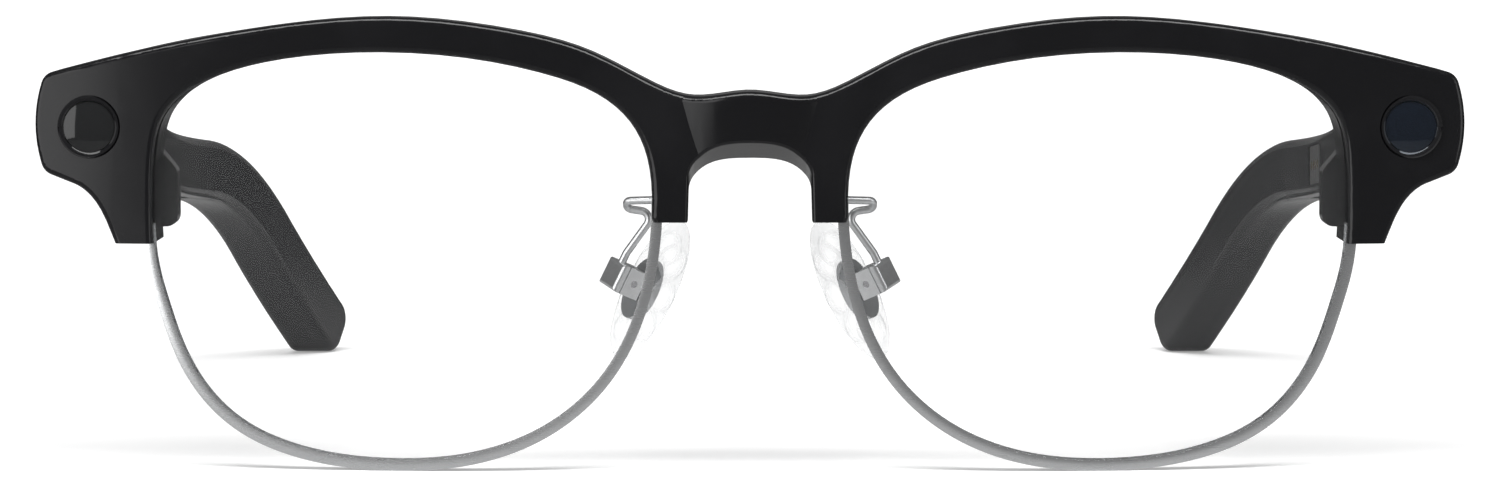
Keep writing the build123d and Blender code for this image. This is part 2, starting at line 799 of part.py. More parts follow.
def left_of(part):
    """The other side's copy of a part or of a list of parts."""
    if isinstance(part, list):
        return [mirrored(p) for p in part]
    return mirrored(part)


def front_nodes():
    nodes = {}
    screws = joined(cover_screws())
    heads = joined([rod(x, cover_back - 1.0, z, 0.9, 3) for x, z in cover_screw_places])
    leaf = placed(hinge_front())
    leaf_seat = placed(block((leaf_edge, -2.8, -3.0), (3.4, -0.5, 3.0)))
    outer_screw, inner_screw = rim_screws()
    frame = brow_frame() - screws - mirrored(screws)
    arm = nose_arm()
    right = {
        "rim_wire": rim_wire() - outer_screw - inner_screw,
        "lens": lens(),
        "nose_arm": arm,
        "pad_box": at_pad(pad_box()),
        "pad_screw": at_pad(pad_screw()),
        "end_cover": solid_of(end_cover() - heads - screws - leaf_seat),
        "hinge_front": leaf,
        "hinge_pin": placed(hinge_pin()),
    }
    nodes["brow_frame"] = solid_of(frame)
    for name, part in right.items():
        nodes[name + "_right"] = solid_of(part)
        nodes[name + "_left"] = solid_of(mirrored(part))
    rim_set = [outer_screw, inner_screw]
    nodes["rim_screws"] = group(rim_set + left_of(rim_set))
    nodes["cover_screws"] = group(cover_screws() + left_of(cover_screws()))
    nodes["front_flex"] = front_flex()
    nodes["cable_cover"] = cable_cover()
    nodes["camera_bezel"] = module_bezel()
    nodes["camera_window"] = module_window()
    nodes["camera_barrel"] = camera_barrel()
    nodes["camera_glass"] = camera_glass()
    nodes["camera_board"] = module_board(1.5) - camera_sensor()
    nodes["camera_sensor"] = camera_sensor()
    nodes["light_bezel"] = mirrored(module_bezel())
    nodes["light_window"] = mirrored(module_window())
    nodes["light_pipe"] = mirrored(light_pipe())
    nodes["light_board"] = mirrored(module_board(1.0))
    return nodes


def temple_nodes(side):
    """The pieces of one temple, in place, keyed by node name."""
    right = {
        "temple_shell": temple_shell(),
        "temple_cover": temple_cover(side),
        "hinge_temple": hinge_temple(),
        "leaf_screws": leaf_screws(),
        "battery": battery(),
        "temple_board": temple_board(),
        "speaker": speaker(),
        "speaker_grille": speaker_grille(),
        "microphone": microphone(),
        "button_switch": button_switch(),
    }
    if side == "right":
        right["charging_pad"] = charging_pad()
        right["charging_contacts"] = charging_contacts()
        right["touch_strip"] = touch_strip()
    right["capture_button" if side == "right" else "power_button"] = side_button()
    single = ("charging_pad", "charging_contacts", "touch_strip", "capture_button", "power_button")
    nodes = {}
    for name, part in right.items():
        parts = part if isinstance(part, list) else [part]
        parts = [placed(p) for p in parts]
        if side == "left":
            parts = left_of(parts)
        key = name if name in single else name + "_" + side
        nodes[key] = group(parts) if len(parts) > 1 else solid_of(parts[0])
    return nodes


def pad_nodes(side):
    parts = {"nose_pad_" + side: at_pad(nose_pad()), "pad_insert_" + side: at_pad(pad_insert())}
    if side == "left":
        parts = {name: mirrored(part) for name, part in parts.items()}
    return {name: solid_of(part) for name, part in parts.items()}


def all_nodes():
    nodes = front_nodes()
    for side in ("right", "left"):
        nodes.update(temple_nodes(side))
        nodes.update(pad_nodes(side))
    return nodes


def base_shift(nodes):
    """The move that puts the origin at the middle of the box's base."""
    boxes = [part.bounding_box() for part in nodes.values()]
    low = [min(getattr(b.min, k) for b in boxes) for k in "XYZ"]
    high = [max(getattr(b.max, k) for b in boxes) for k in "XYZ"]
    return Vector(-(low[0] + high[0]) / 2, -(low[1] + high[1]) / 2, -low[2])


def main():
    nodes = all_nodes()
    shift = base_shift(nodes)
    os.makedirs("parts", exist_ok=True)
    for name, part in nodes.items():
        export_step(Pos(*shift) * part, "parts/" + name + ".step")
    print("nodes", len(nodes), "shift", [round(v, 4) for v in shift])
    print("hinge axis", [round(v, 4) for v in hinge_frame.origin + shift])
    print("pad pivot", [round(v, 4) for v in Vector(*box_centre) + shift], pad_frame().x_dir)


main()
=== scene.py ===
import json
import math

import bpy
from bpy.props import FloatProperty, FloatVectorProperty, IntProperty, PointerProperty
from mathutils import Matrix, Vector

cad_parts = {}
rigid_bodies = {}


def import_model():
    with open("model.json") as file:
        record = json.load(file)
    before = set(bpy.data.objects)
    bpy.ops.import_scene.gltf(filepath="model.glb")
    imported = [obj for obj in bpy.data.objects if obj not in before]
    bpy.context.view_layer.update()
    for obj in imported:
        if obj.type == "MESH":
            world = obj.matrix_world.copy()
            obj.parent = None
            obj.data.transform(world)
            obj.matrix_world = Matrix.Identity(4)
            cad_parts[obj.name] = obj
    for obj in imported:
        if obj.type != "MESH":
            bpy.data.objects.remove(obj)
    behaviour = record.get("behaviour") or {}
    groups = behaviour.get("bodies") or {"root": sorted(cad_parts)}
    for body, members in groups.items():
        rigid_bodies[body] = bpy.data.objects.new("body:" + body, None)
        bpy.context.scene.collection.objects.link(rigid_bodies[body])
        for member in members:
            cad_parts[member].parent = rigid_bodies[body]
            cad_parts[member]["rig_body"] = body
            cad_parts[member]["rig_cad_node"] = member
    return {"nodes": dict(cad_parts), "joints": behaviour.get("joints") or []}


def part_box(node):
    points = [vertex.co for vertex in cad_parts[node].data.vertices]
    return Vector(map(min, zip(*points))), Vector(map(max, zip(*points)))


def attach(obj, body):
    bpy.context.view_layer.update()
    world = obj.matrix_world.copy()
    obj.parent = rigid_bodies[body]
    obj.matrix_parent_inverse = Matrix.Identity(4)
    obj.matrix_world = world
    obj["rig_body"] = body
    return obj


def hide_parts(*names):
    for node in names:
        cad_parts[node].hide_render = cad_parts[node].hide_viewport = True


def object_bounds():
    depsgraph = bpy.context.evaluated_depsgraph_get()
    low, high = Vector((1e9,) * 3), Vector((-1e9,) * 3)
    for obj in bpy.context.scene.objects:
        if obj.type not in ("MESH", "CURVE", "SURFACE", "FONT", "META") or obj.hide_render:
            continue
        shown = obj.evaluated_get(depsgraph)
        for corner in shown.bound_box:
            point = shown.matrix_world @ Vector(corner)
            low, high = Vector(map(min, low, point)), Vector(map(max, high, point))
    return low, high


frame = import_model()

bl_info = {
    "name": "Browline Smart Glasses",
    "version": (1, 0, 0),
    "blender": (4, 5, 0),
    "location": "3D Viewport > Sidebar > Glasses",
    "description": "Gives a browline pair of smart glasses its finishes, air-cell nose pads and studio",
    "category": "Object",
}

MM = 0.001
CAD_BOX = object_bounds()
SIDES = ("left", "right")
FLOOR_Z = CAD_BOX[0].z
MIRROR_NEAR = 0.10           # distance at which the floor's mirror image starts to dim
MIRROR_FAR = 0.32            # distance at which it is at its dimmest
NEAR_MIRROR = 0.3            # brightness of that image near the glasses and far off
FAR_MIRROR = 0.02
GLOW_NEAR = 0.12             # distance at which the floor starts to glow more
GLOW_FAR = 1.1
GLOW_RISE = 0.75             # what the glow gains over that distance
FLOOR_HALF = (3.0, 2.2)      # half of the floor's width and of its depth
FLOOR_LEAD = 0.09            # how far the floor reaches in front of the glasses
ROOM_LIGHT = 0.15            # brightness of the room in reflections
APEX_SETBACK = 0.006         # from the frontmost point back to the plane the camera aims at
RIM_ROUND = 0.4 * MM         # radius of the rim wires' rounded edges
SOFT_ANGLE = 0.7             # edges sharper than this, in radians, are rounded or kept crisp
MERGE_COPY = 0.002 * MM      # gap closed in a copy of a CAD piece
MERGE_PAD = 0.01 * MM        # gap closed in a pad
PAD_VOXEL = 0.17 * MM        # voxel that the skin and the cells grow together in
PAD_SMOOTHING = 14           # passes that soften the corners between the cells
CELL_FLAT = 0.82             # an air cell's thickness and length, as parts of its width
CELL_LONG = 1.12
FINE_SKIN = 0.0005 * MM      # depth of the moulded skin on polished plastic


# ---- values a user would change -----------------------------------------
class FinishSettings(bpy.types.PropertyGroup):
    """Colours and gloss of the frame and its metal parts."""
    plastic_colour: FloatVectorProperty(
        name="Plastic colour", description="Colour of the moulded front and temples",
        subtype="COLOR", size=3, min=0, max=1, default=(0.006, 0.006, 0.0068))
    plastic_gloss: FloatProperty(
        name="Plastic roughness", description="Roughness of the polished plastic",
        subtype="FACTOR", min=0, max=1, default=0.13)
    metal_colour: FloatVectorProperty(
        name="Metal colour", description="Colour of the rims and the nose arms",
        subtype="COLOR", size=3, min=0, max=1, default=(0.9, 0.91, 0.92))
    metal_gloss: FloatProperty(
        name="Metal roughness", description="Roughness of the polished rims",
        subtype="FACTOR", min=0, max=1, default=0.24)
    lens_tint: FloatVectorProperty(
        name="Lens tint", description="Tint of the clear lenses",
        subtype="COLOR", size=3, min=0, max=1, default=(0.97, 0.985, 0.99))


class PadSettings(bpy.types.PropertyGroup):
    """Size of a soft nose pad with air cells."""
    half_width: FloatProperty(
        name="Half width", description="Half of the pad's width",
        subtype="DISTANCE", unit="LENGTH", min=0.002, max=0.008, default=4.0 * MM)
    half_length: FloatProperty(
        name="Half length", description="Half of the pad's length",
        subtype="DISTANCE", unit="LENGTH", min=0.004, max=0.012, default=6.7 * MM)
    depth: FloatProperty(
        name="Depth", description="Middle of the pad in front of its rocking axis",
        subtype="DISTANCE", unit="LENGTH", min=0.001, max=0.006, default=3.25 * MM)
    web_half: FloatProperty(
        name="Web half thickness", description="Half thickness of the skin between the cells",
        subtype="DISTANCE", unit="LENGTH", min=0.0003, max=0.0015, default=0.6 * MM)
    cell_radius: FloatProperty(
        name="Cell radius", description="Radius of one air cell, seen from the face",
        subtype="DISTANCE", unit="LENGTH", min=0.0005, max=0.003, default=1.75 * MM)
    cells: IntProperty(
        name="Cells", description="Number of air cells round the rim of the pad",
        min=4, max=14, default=7)
    lean: FloatProperty(
        name="Lean", description="How far the pad leans in at the top",
        subtype="ANGLE", unit="ROTATION", min=0, max=1.2, default=math.radians(26.0))


class StageSettings(bpy.types.PropertyGroup):
    """Studio light, floor and camera."""
    floor_colour: FloatVectorProperty(
        name="Floor colour", description="Colour of the studio floor",
        subtype="COLOR", size=3, min=0, max=1, default=(0.93, 0.93, 0.93))
    floor_glow: FloatProperty(
        name="Floor glow", description="Light that the translucent floor gives by itself",
        min=0, max=2, default=0.28)
    top_power: FloatProperty(
        name="Top light", description="Power of the overhead softbox",
        subtype="POWER", unit="POWER", min=0, max=100, default=15.0)
    left_power: FloatProperty(
        name="Left light", description="Power of the left softbox",
        subtype="POWER", unit="POWER", min=0, max=100, default=5.5)
    right_power: FloatProperty(
        name="Right light", description="Power of the right softbox",
        subtype="POWER", unit="POWER", min=0, max=100, default=1.6)
    camera_distance: FloatProperty(
        name="Camera distance", description="Distance from the camera to the plane it aims at",
        subtype="DISTANCE", unit="LENGTH", min=0.1, max=5, default=0.554)
    camera_height: FloatProperty(
        name="Camera height", description="Height of the camera over the floor",
        subtype="DISTANCE", unit="LENGTH", min=0, max=2, default=0.063)
    aim_height: FloatProperty(
        name="Aim height", description="Height of the point that the camera looks at",
        subtype="DISTANCE", unit="LENGTH", min=0, max=1, default=0.0232)
    focal_length: FloatProperty(
        name="Focal length", description="Focal length of the lens",
        subtype="DISTANCE_CAMERA", min=20, max=300, default=128.0)


# ---- node helpers -------------------------------------------------------
def link(tree, source, target):
    """Joins one node's output to another's input."""
    tree.links.new(source, target)


def math_node(tree, operation, first, second):
    """A Math node whose operands are sockets or numbers."""
    node = tree.nodes.new("ShaderNodeMath")
    node.operation = operation
    for socket, value in zip(node.inputs, (first, second)):
        if isinstance(value, bpy.types.NodeSocket):
            link(tree, value, socket)
        else:
            socket.default_value = value
    return node.outputs[0]


def noise_node(tree, vector, scale, detail=3.0):
    """A Noise Texture read at a vector; scale is a socket or a number."""
    node = tree.nodes.new("ShaderNodeTexNoise")
    node.inputs["Detail"].default_value = detail
    link(tree, vector, node.inputs["Vector"])
    if isinstance(scale, bpy.types.NodeSocket):
        link(tree, scale, node.inputs["Scale"])
    else:
        node.inputs["Scale"].default_value = scale
    return node.outputs["Fac"]


def span_node(tree, value, low, high):
    """Spreads the range low to high of a value over 0 to 1."""
    node = tree.nodes.new("ShaderNodeMapRange")
    link(tree, value, node.inputs["Value"])
    node.inputs["From Min"].default_value = low
    node.inputs["From Max"].default_value = high
    return node.outputs["Result"]


def colour_mix(tree, mask, first, second):
    """A colour between two plain colours, by a mask."""
    node = tree.nodes.new("ShaderNodeMix")
    node.data_type = "RGBA"
    link(tree, mask, node.inputs["Factor"])
    for socket, colour in ((node.inputs[6], first), (node.inputs[7], second)):
        if isinstance(colour, bpy.types.NodeSocket):
            link(tree, colour, socket)
        else:
            socket.default_value = (*colour[:3], 1.0)
    return node.outputs[2]


def new_group(name, numbers, outputs):
    """A shader node group with a Vector input, number inputs and number outputs."""
    tree = bpy.data.node_groups.new(name, "ShaderNodeTree")
    tree.interface.new_socket("Vector", in_out="INPUT", socket_type="NodeSocketVector")
    for label, value in numbers:
        socket = tree.interface.new_socket(label, in_out="INPUT", socket_type="NodeSocketFloat")
        socket.default_value = value
    for label in outputs:
        tree.interface.new_socket(label, in_out="OUTPUT", socket_type="NodeSocketFloat")
    return tree, tree.nodes.new("NodeGroupInput"), tree.nodes.new("NodeGroupOutput")


# ---- shared effects -----------------------------------------------------
def handling_marks():
    """Faint smears and dust that a polished surface gathers, with its fine moulded skin."""
    name = "Handling Marks"
    if name in bpy.data.node_groups:
        return bpy.data.node_groups[name]
    numbers = (("Roughness", 0.15), ("Smear", 0.06), ("Smear Scale", 90.0), ("Skin Scale", 2600.0))
    tree, given, made = new_group(name, numbers, ("Roughness", "Smear", "Dust", "Skin"))
    cloud = noise_node(tree, given.outputs["Vector"], given.outputs["Smear Scale"], 5.0)
    smear = span_node(tree, cloud, 0.48, 0.72)
    added = math_node(tree, "MULTIPLY", smear, given.outputs["Smear"])
    rough = math_node(tree, "ADD", added, given.outputs["Roughness"])
    specks = tree.nodes.new("ShaderNodeTexVoronoi")
    specks.inputs["Scale"].default_value = 1100.0
    link(tree, given.outputs["Vector"], specks.inputs["Vector"])
    near = math_node(tree, "LESS_THAN", specks.outputs["Distance"], 0.05)
    sparse = math_node(tree, "GREATER_THAN", noise_node(tree, given.outputs["Vector"], 260.0, 2.0), 0.66)
    link(tree, rough, made.inputs["Roughness"])
    link(tree, smear, made.inputs["Smear"])
    link(tree, math_node(tree, "MULTIPLY", near, sparse), made.inputs["Dust"])
    skin = noise_node(tree, given.outputs["Vector"], given.outputs["Skin Scale"], 2.0)
    link(tree, skin, made.inputs["Skin"])
    return tree


def drawn_grain():
    """Fine lines of drawn or brushed metal, stretched along one axis."""
    name = "Drawn Grain"
    if name in bpy.data.node_groups:
        return bpy.data.node_groups[name]
    numbers = (("Roughness", 0.2), ("Spread", 0.1), ("Scale", 1800.0), ("Stretch", 0.06))
    tree, given, made = new_group(name, numbers, ("Roughness", "Grain"))
    stretch = tree.nodes.new("ShaderNodeCombineXYZ")
    stretch.inputs["Y"].default_value = 1.0
    stretch.inputs["Z"].default_value = 1.0
    link(tree, given.outputs["Stretch"], stretch.inputs["X"])
    scaled = tree.nodes.new("ShaderNodeVectorMath")
    scaled.operation = "MULTIPLY"
    link(tree, given.outputs["Vector"], scaled.inputs[0])
    link(tree, stretch.outputs[0], scaled.inputs[1])
    grain = noise_node(tree, scaled.outputs[0], given.outputs["Scale"], 4.0)
    added = math_node(tree, "MULTIPLY", grain, given.outputs["Spread"])
    link(tree, math_node(tree, "ADD", added, given.outputs["Roughness"]), made.inputs["Roughness"])
    link(tree, grain, made.inputs["Grain"])
    return tree


def printed_lines():
    """Parallel conductors with gaps, as on a flexible strip or a circuit board."""
    name = "Printed Lines"
    if name in bpy.data.node_groups:
        return bpy.data.node_groups[name]
    tree, given, made = new_group(name, (("Scale", 500.0), ("Breaks", 0.5)), ("Line",))
    wave = tree.nodes.new("ShaderNodeTexWave")
    wave.bands_direction = "Z"
    link(tree, given.outputs["Vector"], wave.inputs["Vector"])
    link(tree, given.outputs["Scale"], wave.inputs["Scale"])
    line = math_node(tree, "GREATER_THAN", wave.outputs["Fac"], 0.62)
    patch = noise_node(tree, given.outputs["Vector"], 420.0, 1.0)
    kept = math_node(tree, "GREATER_THAN", patch, given.outputs["Breaks"])
    link(tree, math_node(tree, "MULTIPLY", line, kept), made.inputs["Line"])
    return tree


def new_material(name):
    """An empty node material; returns it with its tree, shader and object coordinates."""
    material = bpy.data.materials.new(name)
    material.use_nodes = True
    tree = material.node_tree
    shader = tree.nodes["Principled BSDF"]
    place = tree.nodes.new("ShaderNodeTexCoord").outputs["Object"]
    return material, tree, shader, place


def set_sockets(shader, values):
    """Sets the shader's own sockets, such as IOR or Coat Weight."""
    for label, value in values.items():
        shader.inputs[label].default_value = value


def use_group(tree, group, place, **numbers):
    """Puts a shared effect in a material with its own values."""
    node = tree.nodes.new("ShaderNodeGroup")
    node.node_tree = group
    link(tree, place, node.inputs["Vector"])
    for label, value in numbers.items():
        node.inputs[label.replace("_", " ")].default_value = value
    return node.outputs


def add_bump(tree, shader, height, depth, strength=0.5):
    """Feeds a height through a Bump node to the shader's normal; depth is in metres."""
    bump = tree.nodes.new("ShaderNodeBump")
    bump.inputs["Distance"].default_value = depth
    bump.inputs["Strength"].default_value = strength
    link(tree, height, bump.inputs["Height"])
    link(tree, bump.outputs["Normal"], shader.inputs["Normal"])


def plastic_material(name, colour, roughness, smear=0.05, skin=2600.0, depth=FINE_SKIN, **sockets):
    """Moulded plastic with handling marks and a fine skin."""
    material, tree, shader, place = new_material(name)
    marks = use_group(tree, handling_marks(), place, Roughness=roughness, Smear=smear, Skin_Scale=skin)
    lighter = tuple(min(1.0, c * 1.25 + 0.001) for c in colour[:3])
    worn = colour_mix(tree, marks["Smear"], colour, lighter)
    link(tree, colour_mix(tree, marks["Dust"], worn, (0.03, 0.03, 0.03)), shader.inputs["Base Color"])
    link(tree, marks["Roughness"], shader.inputs["Roughness"])
    add_bump(tree, shader, marks["Skin"], depth)
    set_sockets(shader, sockets)
    return material


def metal_material(name, colour, roughness, spread=0.1, scale=1800.0, depth=0.0008 * MM, **sockets):
    """Drawn or brushed metal."""
    material, tree, shader, place = new_material(name)
    grain = use_group(tree, drawn_grain(), place, Roughness=roughness, Spread=spread, Scale=scale)
    darker = tuple(c * 0.82 for c in colour[:3])
    link(tree, colour_mix(tree, grain["Grain"], colour, darker), shader.inputs["Base Color"])
    link(tree, grain["Roughness"], shader.inputs["Roughness"])
    add_bump(tree, shader, grain["Grain"], depth, 0.3)
    set_sockets(shader, {"Metallic": 1.0, **sockets})
    return material


def clear_material(name, colour, low, high, roughness=0.02, **sockets):
    """Lens, window or silicone whose alpha goes from low, seen square on, to high at its edges."""
    material, tree, shader, place = new_material(name)
    marks = use_group(tree, handling_marks(), place, Roughness=roughness, Smear=0.03)
    link(tree, colour_mix(tree, marks["Smear"], colour, tuple(c * 0.97 for c in colour[:3])),
         shader.inputs["Base Color"])
    link(tree, marks["Roughness"], shader.inputs["Roughness"])
    facing = tree.nodes.new("ShaderNodeLayerWeight")
    facing.inputs["Blend"].default_value = 0.35
    share = math_node(tree, "MULTIPLY", facing.outputs["Facing"], high - low)
    link(tree, math_node(tree, "ADD", share, low), shader.inputs["Alpha"])
    set_sockets(shader, sockets)
    return material


def board_material(name, ground, line, scale, roughness=0.35, breaks=0.5):
    """Lacquered circuit board or flexible strip with printed conductors."""
    material, tree, shader, place = new_material(name)
    lines = use_group(tree, printed_lines(), place, Scale=scale, Breaks=breaks)
    marks = use_group(tree, handling_marks(), place, Roughness=roughness, Smear=0.1)
    link(tree, colour_mix(tree, lines["Line"], ground, line), shader.inputs["Base Color"])
    link(tree, marks["Roughness"], shader.inputs["Roughness"])
    add_bump(tree, shader, lines["Line"], 0.02 * MM, 0.6)
    return material


def ringed_material(name, node, colour, rings, roughness=0.4, depth=0.04 * MM):
    """Black part with turned rings about its own axis, along Y."""
    material, tree, shader, place = new_material(name)
    low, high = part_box(node)
    centre = (low + high) / 2
    moved = tree.nodes.new("ShaderNodeVectorMath")
    moved.operation = "SUBTRACT"
    link(tree, place, moved.inputs[0])
    moved.inputs[1].default_value = centre
    wave = tree.nodes.new("ShaderNodeTexWave")
    wave.wave_type = "RINGS"
    wave.rings_direction = "Y"
    wave.inputs["Scale"].default_value = rings
    link(tree, moved.outputs[0], wave.inputs["Vector"])
    marks = use_group(tree, handling_marks(), place, Roughness=roughness, Smear=0.08)
    lighter = tuple(c * 1.6 for c in colour[:3])
    link(tree, colour_mix(tree, wave.outputs["Fac"], colour, lighter), shader.inputs["Base Color"])
    link(tree, marks["Roughness"], shader.inputs["Roughness"])
    add_bump(tree, shader, wave.outputs["Fac"], depth, 0.5)
    return material


# ---- pieces -------------------------------------------------------------
def finish_nodes(material, names):
    """Gives the named CAD pieces one material in all their slots."""
    for name in names:
        for holder in frame["nodes"][name].material_slots:
            holder.material = material


def both(*stems):
    """The left and right names of pieces that come in pairs."""
    return [f"{stem}_{side}" for stem in stems for side in SIDES]


def start_piece():
    """Leaves edit mode and deselects everything, before a primitive is added."""
    if bpy.context.object is not None and bpy.context.object.mode != "OBJECT":
        bpy.ops.object.mode_set(mode="OBJECT")
    bpy.ops.object.select_all(action="DESELECT")


def place_mesh(piece, matrix):
    """Moves the mesh itself, so that the object stays at the origin."""
    piece.data.transform(matrix @ piece.matrix_world)
    piece.matrix_world = Matrix.Identity(4)


def apply_modifiers(piece):
    """Applies every modifier of a piece, in order."""
    bpy.context.view_layer.objects.active = piece
    for name in [modifier.name for modifier in piece.modifiers]:
        bpy.ops.object.modifier_apply(modifier=name)


def merged_copy(node, name):
    """A free copy of a CAD piece with its triangles joined up, ready for modifiers."""
    start_piece()
    source = frame["nodes"][node]
    piece = source.copy()
    piece.data = source.data.copy()
    piece.name = name
    piece.parent = None
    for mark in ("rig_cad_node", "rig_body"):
        del piece[mark]
    bpy.context.scene.collection.objects.link(piece)
    piece.select_set(True)
    bpy.context.view_layer.objects.active = piece
    bpy.ops.mesh.customdata_custom_splitnormals_clear()
    bpy.ops.object.mode_set(mode="EDIT")
    bpy.ops.mesh.select_all(action="SELECT")
    bpy.ops.mesh.remove_doubles(threshold=MERGE_COPY)
    bpy.ops.object.mode_set(mode="OBJECT")
    return piece


def round_edges(piece, width):
    """Rounds a merged copy's sharp edges with a Bevel modifier."""
    bevel = piece.modifiers.new("Rounded Edges", "BEVEL")
    bevel.width = width
    bevel.segments = 3
    bevel.limit_method = "ANGLE"
    bevel.angle_limit = SOFT_ANGLE
    apply_modifiers(piece)
    bpy.ops.object.shade_smooth_by_angle(angle=SOFT_ANGLE)


class GLASSES_OT_front(bpy.types.Operator):
    """Finish the moulded front and its end covers in polished black plastic."""
    bl_idname = "glasses.front"
    bl_label = "Finish Front"

    def execute(self, context):
        values = context.scene.glasses_finish
        material = plastic_material(
            "Polished Front Plastic", tuple(values.plastic_colour), values.plastic_gloss,
            **{"Specular IOR Level": 0.34})
        finish_nodes(material, ["brow_frame", "cable_cover", *both("end_cover")])
        return {"FINISHED"}


class GLASSES_OT_temples(bpy.types.Operator):
    """Finish the temple shells, their inner covers and the keys."""
    bl_idname = "glasses.temples"
    bl_label = "Finish Temples"

    def execute(self, context):
        values = context.scene.glasses_finish
        colour = tuple(values.plastic_colour)
        shell = plastic_material(
            "Polished Temple Plastic", colour, values.plastic_gloss,
            **{"Specular IOR Level": 0.26})
        inner = plastic_material(
            "Satin Inner Cover Plastic", colour, values.plastic_gloss + 0.03,
            skin=1500.0, depth=0.0006 * MM, **{"Specular IOR Level": 0.24})
        key = plastic_material(
            "Satin Key Plastic", tuple(c * 2.0 for c in colour), 0.28, skin=1200.0, depth=0.006 * MM)
        finish_nodes(shell, both("temple_shell"))
        finish_nodes(inner, both("temple_cover"))
        finish_nodes(key, ["capture_button", "power_button"])
        return {"FINISHED"}


class GLASSES_OT_rims(bpy.types.Operator):
    """Round the wire rims' edges, and finish them, the nose arms and their boxes in metal."""
    bl_idname = "glasses.rims"
    bl_label = "Finish Rims"

    def execute(self, context):
        values = context.scene.glasses_finish
        colour = tuple(values.metal_colour)
        rim = metal_material("Polished Rim Metal", colour, values.metal_gloss, spread=0.06)
        arm = metal_material("Bent Nose Arm Metal", colour, values.metal_gloss + 0.04)
        for side in SIDES:
            node = f"rim_wire_{side}"
            wire = merged_copy(node, f"rounded_rim_{side}")
            round_edges(wire, RIM_ROUND)
            wire.data.materials.clear()
            wire.data.materials.append(rim)
            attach(wire, "front")
            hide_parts(node)
        finish_nodes(arm, both("nose_arm", "pad_box"))
        return {"FINISHED"}


class GLASSES_OT_lenses(bpy.types.Operator):
    """Finish the clear lenses."""
    bl_idname = "glasses.lenses"
    bl_label = "Finish Lenses"

    def execute(self, context):
        tint = tuple(context.scene.glasses_finish.lens_tint)
        material = clear_material("Clear Coated Lens", tint, 0.008, 0.35, **{"IOR": 1.5})
        finish_nodes(material, both("lens"))
        return {"FINISHED"}


class GLASSES_OT_camera_module(bpy.types.Operator):
    """Finish the camera: window, bezel, barrel, lens element and sensor."""
    bl_idname = "glasses.camera_module"
    bl_label = "Finish Camera"

    def execute(self, context):
        colour = tuple(context.scene.glasses_finish.plastic_colour)
        bezel = plastic_material(
            "Polished Bezel Plastic", colour, 0.08, smear=0.03, **{"Specular IOR Level": 0.6})
        window = clear_material(
            "Dark Camera Window", (0.006, 0.008, 0.012), 0.9, 0.98,
            **{"IOR": 1.52, "Coat Weight": 0.6, "Coat Roughness": 0.02,
               "Coat Tint": (0.55, 0.75, 1.0, 1.0)})
        element = clear_material(
            "Coated Lens Element", (0.03, 0.07, 0.16), 0.5, 0.95,
            **{"IOR": 1.6, "Coat Weight": 1.0, "Coat Roughness": 0.01,
               "Coat Tint": (0.45, 0.6, 1.0, 1.0)})
        finish_nodes(bezel, ["camera_bezel", "light_bezel"])
        finish_nodes(window, ["camera_window"])
        finish_nodes(element, ["camera_glass"])
        barrel = ringed_material("Ribbed Camera Barrel", "camera_barrel", (0.02, 0.02, 0.021), 900.0)
        die = metal_material("Image Sensor Die", (0.28, 0.3, 0.42), 0.12, spread=0.05, scale=4000.0)
        finish_nodes(barrel, ["camera_barrel"])
        finish_nodes(die, ["camera_sensor"])
        return {"FINISHED"}


class GLASSES_OT_light_module(bpy.types.Operator):
    """Finish the privacy light: dark window and frosted light guide."""
    bl_idname = "glasses.light_module"
    bl_label = "Finish Light"

    def execute(self, context):
        window = clear_material(
            "Smoked Light Window", (0.012, 0.0125, 0.013), 0.96, 0.99, roughness=0.05, **{"IOR": 1.5})
        guide = clear_material(
            "Frosted Light Guide", (0.9, 0.92, 0.95), 0.5, 0.9, roughness=0.45, **{"IOR": 1.49})
        finish_nodes(window, ["light_window"])
        finish_nodes(guide, ["light_pipe"])
        return {"FINISHED"}


class GLASSES_OT_hardware(bpy.types.Operator):
    """Finish the hinges, pins and screws in steel."""
    bl_idname = "glasses.hardware"
    bl_label = "Finish Hardware"

    def execute(self, context):
        leaf = metal_material("Satin Hinge Steel", (0.5, 0.5, 0.52), 0.26, spread=0.16, scale=1400.0)
        screw = metal_material("Turned Screw Steel", (0.6, 0.6, 0.62), 0.2, spread=0.12, scale=2600.0)
        finish_nodes(leaf, both("hinge_front", "hinge_temple"))
        finish_nodes(screw, ["rim_screws", "cover_screws", *both("hinge_pin", "leaf_screws", "pad_screw")])
        return {"FINISHED"}


class GLASSES_OT_electronics(bpy.types.Operator):
    """Finish the boards, cells, speakers, contacts and strips inside."""
    bl_idname = "glasses.electronics"
    bl_label = "Finish Electronics"

    def execute(self, context):
        board = board_material("Lacquered Circuit Board", (0.01, 0.09, 0.045), (0.35, 0.3, 0.08), 600.0)
        strip = board_material(
            "Amber Flexible Strip", (0.5, 0.24, 0.05), (0.75, 0.4, 0.16), 900.0, breaks=0.2)
        foil = metal_material(
            "Foil Cell Pouch", (0.62, 0.62, 0.64), 0.3, spread=0.25, scale=500.0, depth=0.04 * MM)
        black = plastic_material("Matt Part Plastic", (0.03, 0.03, 0.03), 0.55, skin=900.0, depth=0.01 * MM)
        mesh = ringed_material("Black Coated Grille", "speaker_grille_right", (0.02, 0.02, 0.022), 1500.0)
        gold = metal_material("Gold Plated Contact", (0.86, 0.62, 0.24), 0.18, spread=0.08)
        finish_nodes(board, ["camera_board", "light_board", *both("temple_board")])
        finish_nodes(strip, ["front_flex", "touch_strip"])
        finish_nodes(foil, both("battery"))
        finish_nodes(black, ["charging_pad", *both("speaker", "microphone", "button_switch")])
        finish_nodes(mesh, both("speaker_grille"))
        finish_nodes(gold, ["charging_contacts"])
        return {"FINISHED"}


